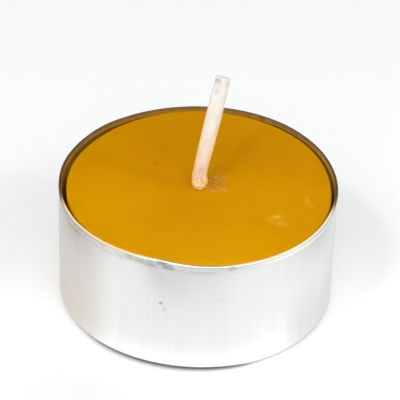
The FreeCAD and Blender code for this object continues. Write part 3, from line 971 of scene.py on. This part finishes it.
def aluminium():
    """Thin drawn sheet: satin and brushed, with smudges, painted reflection on its sides, lip and
    rim, painted shade at the foot and under the lip, and amber painted inside for the wax it
    mirrors.
    """
    s = Shader("cup_aluminium")
    axes = s.axes((1 / MM, 1 / MM, 1 / MM))
    waves = s.noise(METAL_WAVES, stretch=(1, 1, 0.35))
    blotches = s.noise(METAL_BLOTCHES, roughness=0.55)
    # Painted reflection: the wall is dulled and tinted where it faces the sides
    colour = side_reflection_painted(s, s.ramp(waves, METAL), axes["Z"])
    # Painted reflection on the lip: darker in front, paler at the right
    colour = lip_painted_reflection(s, colour, axes)
    streaks = s.ramp(s.noise(METAL_BRUSHING, stretch=(1, 1, 0.05)), STREAKS)
    colour = s.mix(1.0, colour, streaks, "MULTIPLY")
    crown = s.attribute("crown")
    crown_top = s.range(crown, CROWN_TOP)
    # Painted highlight: the rim's metal is tinted cream
    colour = s.mix(s.times(crown_top, CROWN_STRENGTH), colour, CROWN_HIGHLIGHT_TINT)
    painted_foot_shade = s.attribute("painted_foot_shade")
    # Smudges, together with the painted foot shade and a painted crease shade line
    smudges_and_shade = smudged_and_shaded(s, painted_foot_shade, axes, blotches)
    colour = s.mix(smudges_and_shade, colour, SMUDGE_AND_SHADE_COLOUR)
    # Painted shade along the foot's corner, where it all but touches the table
    colour = s.mix(painted_foot_shade, colour, PAINTED_SHADE_COLOUR)
    # Amber painted on the inner wall for the wax it mirrors, with painted shade and light
    film_and_painted_light = s.times(s.attribute("inside"), s.range(blotches, NOISE_SPAN, INSIDE_REFLECTION_SPAN))
    colour = s.mix(film_and_painted_light, colour, inside_painted_reflection(s, axes))
    # Painted light on the crown: cream highlight in front, dark shade at the back
    crown_painted, crown_colour = crown_painted_light(s, axes, crown, crown_top)
    s.to("Base Color", s.mix(crown_painted, colour, crown_colour))
    s.to("Metallic", s.range(s.math("MAXIMUM", film_and_painted_light, crown_painted), (0.0, 1.0), (1.0, 0.0)))
    s.set(Specular_IOR_Level=0.05)
    clouds = s.noise(METAL_CLOUDS, detail=1.0, stretch=(1, 1, 0.5))
    rough = s.range(clouds, NOISE_SPAN, METAL_ROUGHNESS)
    s.to("Roughness", s.math("ADD", rough, s.times(smudges_and_shade, SMUDGE_AND_SHADE_ROUGHNESS)))
    s.to("Normal", s.bump(waves, METAL_BUMP))
    return s.material


def wax_material():
    """Amber beeswax-like wax: soft sheen, light passing a little way under the surface."""
    s = Shader("amber_wax")
    s.set(Subsurface_Weight=0.8, Subsurface_Scale=0.0024, Subsurface_Radius=(1.0, 0.7, 0.02))
    s.set(Specular_IOR_Level=0.03)
    mottle = s.noise(WAX_MOTTLES, detail=4.0, roughness=0.55)
    base = s.ramp(s.noise(WAX_CLOUDS, detail=2.0), WAX_TONES)
    base = s.mix(1.0, base, s.ramp(mottle, WAX_MOTTLE), "MULTIPLY")
    # Painted shade: the wax darkens towards the back
    back = s.range(s.axes()["Y"], (-PUCK_RADIUS, PUCK_RADIUS))
    base = s.mix(1.0, base, s.ramp(back, WAX_PAINTED_SHADE), "MULTIPLY")
    speckle = s.range(s.noise(WAX_SPECKLES, roughness=0.6), NOISE_SPAN, MARK_SPECKLE)
    tone = s.times(s.attribute("tone"), speckle)
    base = s.mix(s.range(tone, (0.0, 1.0), (0.0, MARK_STRENGTH)), base, MARK_PALE)
    base = s.mix(s.range(tone, (0.0, -1.0), (0.0, MARK_STRENGTH)), base, MARK_DARK)
    torn_colour = s.ramp(s.noise(WAX_CRUMBS, roughness=0.6), TORN_TONES)
    s.to("Base Color", s.mix(s.times(s.attribute("torn"), TORN_STRENGTH), base, torn_colour))
    s.to("Roughness", s.range(mottle, NOISE_SPAN, WAX_ROUGHNESS))
    s.to("Normal", s.bump(s.noise(WAX_GRAIN), WAX_BUMP, strength=0.6))
    return s.material


def wick_material():
    """Bleached cotton under a thin coat of wax, yellow on its flanks with a painted highlight,
    with painted warm bounce light at the foot.
    """
    s = Shader("cotton_wick")
    s.set(Subsurface_Weight=0.7, Subsurface_Scale=0.0009, Subsurface_Radius=(1.0, 0.8, 0.6))
    s.set(Specular_IOR_Level=0.05, Sheen_Weight=0.6, Sheen_Roughness=0.5)
    s.set(Sheen_Tint=(1.0, 0.86, 0.62, 1.0))
    height = s.axes()["Z"]
    fibres = s.noise(WICK_FIBRES, detail=4.0, roughness=0.6, stretch=(1, 1, 0.25))
    # Painted warm bounce light from the wax, fading up the wick
    bounce_glow = s.range(height, (WAX_TOP, WARM_UP_TO), (WARM_STRENGTH, 0.0))
    colour = s.mix(bounce_glow, s.ramp(fibres, COTTON), WARM_BOUNCE_PAINT)
    mottle = s.noise(WICK_MOTTLES, detail=2.0, stretch=(1, 1, 0.5))
    colour = s.mix(s.fade(mottle, GREY_SPAN, (0.0, GREY_STRENGTH)), colour, COTTON_GREY)
    # Painted highlight on the flanks' yellow film, paling towards the tip
    flanks = s.ramp(s.range(height, (WAX_TOP, wick_top)), FLANK_FILM_AND_HIGHLIGHT)
    colour = s.mix(s.times(s.attribute("film_and_painted_light"), FLANK_STRENGTH), colour, flanks)
    colour = s.mix(s.attribute("stain"), colour, STAIN_GREY)
    shift = s.range(height, (DISH_HEIGHT, COLLAR_PALE_AT), COLLAR_SHIFT)
    clumps = s.noise(WICK_CRUMBS, roughness=0.55)
    crumbs = s.ramp(s.math("ADD", clumps, shift), COLLAR_TONES)
    s.to("Base Color", s.mix(s.times(s.attribute("collar"), COLLAR_STRENGTH), colour, crumbs))
    s.to("Roughness", s.range(fibres, NOISE_SPAN, WICK_ROUGHNESS))
    s.to("Normal", s.bump(fibres, WICK_BUMP, strength=0.8))
    return s.material


def tinned_steel():
    """Bright tinned sheet with a fine grain."""
    s = Shader("tinned_steel")
    s.set(Metallic=1.0)
    grain = s.noise(STEEL_GRAIN)
    s.to("Base Color", s.ramp(grain, STEEL))
    s.to("Roughness", s.range(grain, NOISE_SPAN, STEEL_ROUGHNESS))
    return s.material


def floor_material():
    """White sheet that keeps the candle's shadow, painted lighter by the cup and darker outside
    the picture.
    """
    s = Shader("floor_white")
    s.set(Roughness=0.8, Specular_IOR_Level=0.0)
    axes = s.axes()
    # Painted shade outside the picture, which the cup's wall mirrors
    slant = s.times(axes["Y"], FLOOR_SIDE_SLANT)
    spread = s.math("SUBTRACT", s.math("ABSOLUTE", axes["X"]), slant)
    side = s.times(s.fade(spread, FLOOR_SIDE_X), s.fade(axes["Y"], FLOOR_SIDE_Y, FLOOR_SIDE_SHARE))
    outside = s.math("MAXIMUM", s.fade(axes["Y"], FLOOR_FRONT_Y), side)
    dark = s.mix(s.range(axes["X"], FLOOR_DARK_X), FLOOR_RIGHT_PAINTED_SHADE, FLOOR_LEFT_PAINTED_SHADE)
    # Painted light: lighter by the cup, duller further out and in front
    far = s.vector_math("LENGTH", s.place())
    pale = s.ramp(s.range(far, FLOOR_FAR), FLOOR_PAINTED_LIGHT)
    left = s.range(axes["X"], NEAR_LEFT_X, NEAR_LEFT_SHARE)
    right = s.range(axes["X"], NEAR_RIGHT_X, NEAR_RIGHT_SHARE)
    share = s.times(s.math("MINIMUM", left, right), s.fade(far, NEAR_FAR, NEAR_FAR_SHARE))
    pale = s.mix(s.times(s.fade(axes["Y"], FLOOR_NEAR_Y), share), pale, FLOOR_NEAR_PAINTED_SHADE)
    s.to("Base Color", s.mix(outside, pale, dark))
    return s.material


def paint(piece, material):
    """Give a piece this material alone."""
    piece.data.materials.clear()
    piece.data.materials.append(material)


def build_stage():
    """Wide flat floor just under the cup's foot."""
    signs = [(-1, -1), (1, -1), (1, 1), (-1, 1)]
    corners = [(x * FLOOR_HALF, y * FLOOR_HALF, FLOOR_LEVEL) for x, y in signs]
    floor = new_mesh_object("floor", corners, [(0, 1, 2, 3)])
    paint(floor, floor_material())


def soft_lamp(name, azimuth, elevation, distance, size, power, colour):
    """Square softbox that faces the candle from this direction."""
    data = bpy.data.lights.new(name, "AREA")
    data.shape = "SQUARE"
    data.size = size
    data.energy = power
    data.color = colour
    lamp = bpy.data.objects.new(name, data)
    a, e = math.radians(azimuth), math.radians(elevation)
    away = Vector((math.sin(a) * math.cos(e), -math.cos(a) * math.cos(e), math.sin(e)))
    target = Vector((0, 0, CUP_HEIGHT))
    lamp.location = target + away * distance
    lamp.rotation_euler = away.to_track_quat("Z", "Y").to_euler()
    bpy.context.scene.collection.objects.link(lamp)


def build_light():
    """Soft room light that fades towards the back, and the lamps."""
    world = bpy.data.worlds.new("studio")
    bpy.context.scene.world = world
    world.use_nodes = True
    nodes, links = world.node_tree.nodes, world.node_tree.links
    direction = nodes.new("ShaderNodeTexCoord").outputs["Generated"]
    facing = nodes.new("ShaderNodeVectorMath")
    facing.operation = "DOT_PRODUCT"
    e = math.radians(ROOM_ELEVATION)
    facing.inputs[1].default_value = (0, -math.cos(e), math.sin(e))
    links.new(direction, facing.inputs[0])
    level = nodes.new("ShaderNodeMapRange")
    level.interpolation_type = "SMOOTHSTEP"
    level.inputs["From Min"].default_value, level.inputs["From Max"].default_value = ROOM_SPAN
    level.inputs["To Min"].default_value, level.inputs["To Max"].default_value = ROOM_LEVELS
    links.new(facing.outputs["Value"], level.inputs["Value"])
    links.new(level.outputs["Result"], nodes["Background"].inputs["Strength"])
    nodes["Background"].inputs["Color"].default_value = (1, 1, 1, 1)
    for lamp in LAMPS:
        soft_lamp(*lamp)


def build_camera():
    """Camera at the photo's angle, in front of the candle and above it."""
    data = bpy.data.cameras.new("camera")
    data.sensor_width = SENSOR_WIDTH
    data.lens = FOCAL_PIXELS * SENSOR_WIDTH / IMAGE_SIZE
    data.clip_start = CAMERA_CLIP
    camera = bpy.data.objects.new("camera", data)
    away = Vector((0, -math.cos(CAMERA_ELEVATION), math.sin(CAMERA_ELEVATION)))
    rim_centre = Vector((0, 0, CUP_HEIGHT))
    camera.location = rim_centre + away * CAMERA_DISTANCE
    aim = rim_centre + Vector((AIM_RIGHT, 0, -AIM_BELOW_RIM))
    look = (camera.location - aim).to_track_quat("Z", "Y").to_matrix()
    camera.rotation_euler = (look @ Matrix.Rotation(CAMERA_ROLL, 3, "Z")).to_euler()
    bpy.context.scene.collection.objects.link(camera)
    bpy.context.scene.camera = camera


build_camera()
paint(build_cup(), aluminium())
paint(build_wax(), wax_material())
paint(build_wick(), wick_material())
paint(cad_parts["wick_sustainer"], tinned_steel())
build_stage()
build_light()
bpy.context.scene.view_settings.view_transform = "Standard"
